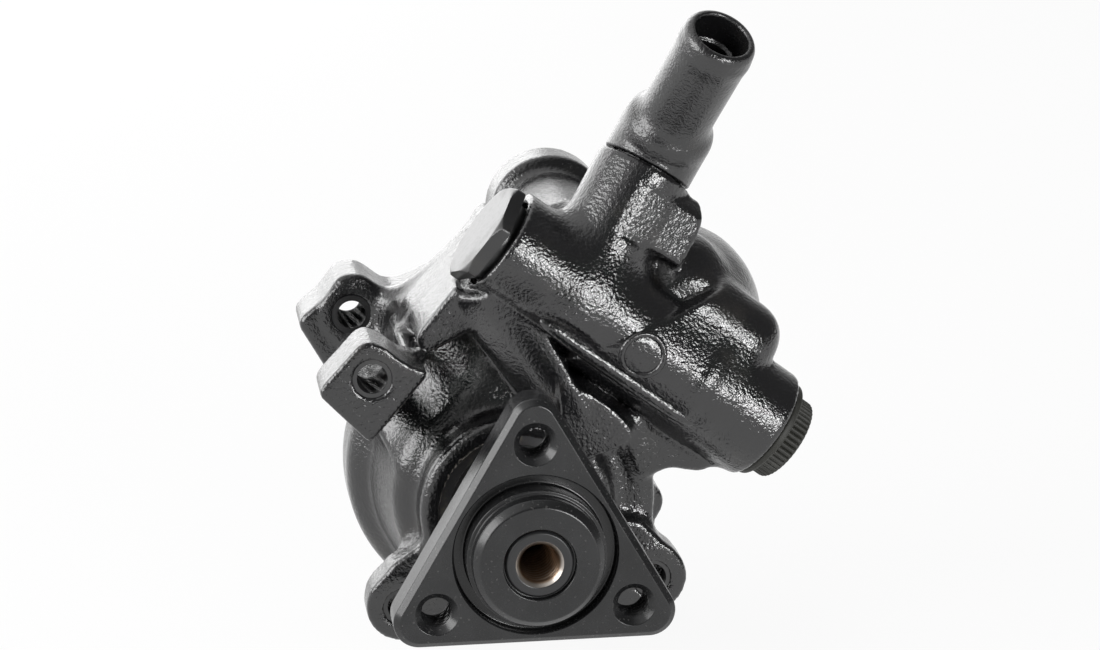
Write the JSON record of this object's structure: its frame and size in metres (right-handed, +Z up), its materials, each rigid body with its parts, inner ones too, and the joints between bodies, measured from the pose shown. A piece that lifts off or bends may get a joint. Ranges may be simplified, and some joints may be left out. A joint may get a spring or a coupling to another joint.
{
  "type": "power steering pump",
  "caption": "Cast vane pump for power steering with a three-cornered pulley hub, a flow valve across the top, mounting ears and an angled suction pipe.",
  "frame": {"origin": "on the shaft axis, at the front face of the hub flange", "axes": "+Y along the shaft from the hub towards the rear cover, +Z up, +X towards the outlet port"},
  "size_m": [0.1155, 0.1026, 0.1492],
  "materials": {
    "casting_paint": "gloss black paint over a sand-cast skin",
    "hub_steel": "dark satin coat with fine grain",
    "shaft_steel": "ground and lightly browned",
    "bearing_steel": "polished",
    "cage_steel": "pressed sheet",
    "shield_steel": "black pressed shield",
    "clip_steel": "phosphated",
    "seal_rubber": "matt",
    "bush_bronze": "plain",
    "plate_steel": "ground",
    "vane_steel": "ground",
    "cover_steel": "black",
    "pipe_paint": "rough black paint",
    "plug_paint": "black paint",
    "spool_steel": "ground and lapped",
    "spring_steel": "drawn wire",
    "plug_plastic": "ribbed"
  },
  "bodies": {
    "pump_body": {"housing": "casting_paint", "bearing_outer_ring": "bearing_steel", "bearing_shield": "shield_steel", "bearing_circlip": "clip_steel", "shaft_seal": "seal_rubber", "shaft_bush": "bush_bronze", "front_plate": "plate_steel", "cam_ring": "plate_steel", "rear_plate": "plate_steel", "dowel_pins": "bearing_steel", "end_cover": "cover_steel", "cover_o_ring": "seal_rubber", "cover_ring": "clip_steel", "suction_pipe": "pipe_paint", "suction_o_ring": "seal_rubber", "valve_plug": "plug_paint", "valve_plug_o_ring": "seal_rubber", "flow_valve_spring": "spring_steel", "outlet_plug": "plug_plastic"},
    "shaft_set": {"drive_shaft": "shaft_steel", "drive_hub": "hub_steel", "bearing_inner_ring": "bearing_steel", "rotor": "plate_steel", "rotor_circlip": "clip_steel"},
    "ball_set": {"bearing_balls": "bearing_steel", "bearing_cage": "cage_steel"},
    "spool": {"flow_valve_spool": "spool_steel"},
    "vane_01": {"vane_01": "vane_steel"},
    "vane_02": {"vane_02": "vane_steel"},
    "vane_03": {"vane_03": "vane_steel"},
    "vane_04": {"vane_04": "vane_steel"},
    "vane_05": {"vane_05": "vane_steel"},
    "vane_06": {"vane_06": "vane_steel"},
    "vane_07": {"vane_07": "vane_steel"},
    "vane_08": {"vane_08": "vane_steel"},
    "vane_09": {"vane_09": "vane_steel"},
    "vane_10": {"vane_10": "vane_steel"}
  },
  "joints": [
    {"name": "shaft_spin", "type": "hinge", "parent": "pump_body", "child": "shaft_set", "pos_m": [0, 0, 0], "axis": [0, 1, 0], "continuous": true},
    {"name": "cage_spin", "type": "hinge", "parent": "pump_body", "child": "ball_set", "pos_m": [0, 0, 0], "axis": [0, 1, 0], "continuous": true},
    {"name": "spool_slide", "type": "slide", "parent": "pump_body", "child": "spool", "axis": [-0.8039, 0, 0.5948], "range_m": [0, 0.008], "stiffness_N_per_m": 3000, "springref_m": -0.006, "deforming": ["flow_valve_spring"]},
    {"name": "vane_01_slide", "type": "slide", "parent": "shaft_set", "child": "vane_01", "axis": [0, 0, 1], "range_m": [-0.001, 0]},
    {"name": "vane_02_slide", "type": "slide", "parent": "shaft_set", "child": "vane_02", "axis": [0.5878, 0, 0.809], "range_m": [-0.001, 0]},
    {"name": "vane_03_slide", "type": "slide", "parent": "shaft_set", "child": "vane_03", "axis": [0.9511, 0, 0.309], "range_m": [-0.001, 0]},
    {"name": "vane_04_slide", "type": "slide", "parent": "shaft_set", "child": "vane_04", "axis": [0.9511, 0, -0.309], "range_m": [-0.001, 0]},
    {"name": "vane_05_slide", "type": "slide", "parent": "shaft_set", "child": "vane_05", "axis": [0.5878, 0, -0.809], "range_m": [-0.001, 0]},
    {"name": "vane_06_slide", "type": "slide", "parent": "shaft_set", "child": "vane_06", "axis": [0, 0, -1], "range_m": [-0.001, 0]},
    {"name": "vane_07_slide", "type": "slide", "parent": "shaft_set", "child": "vane_07", "axis": [-0.5878, 0, -0.809], "range_m": [-0.001, 0]},
    {"name": "vane_08_slide", "type": "slide", "parent": "shaft_set", "child": "vane_08", "axis": [-0.9511, 0, -0.309], "range_m": [-0.001, 0]},
    {"name": "vane_09_slide", "type": "slide", "parent": "shaft_set", "child": "vane_09", "axis": [-0.9511, 0, 0.309], "range_m": [-0.001, 0]},
    {"name": "vane_10_slide", "type": "slide", "parent": "shaft_set", "child": "vane_10", "axis": [-0.5878, 0, 0.809], "range_m": [-0.001, 0]}
  ],
  "couplings": [
    {"joint": "cage_spin", "follows": "shaft_spin", "ratio": 0.38}
  ]
}
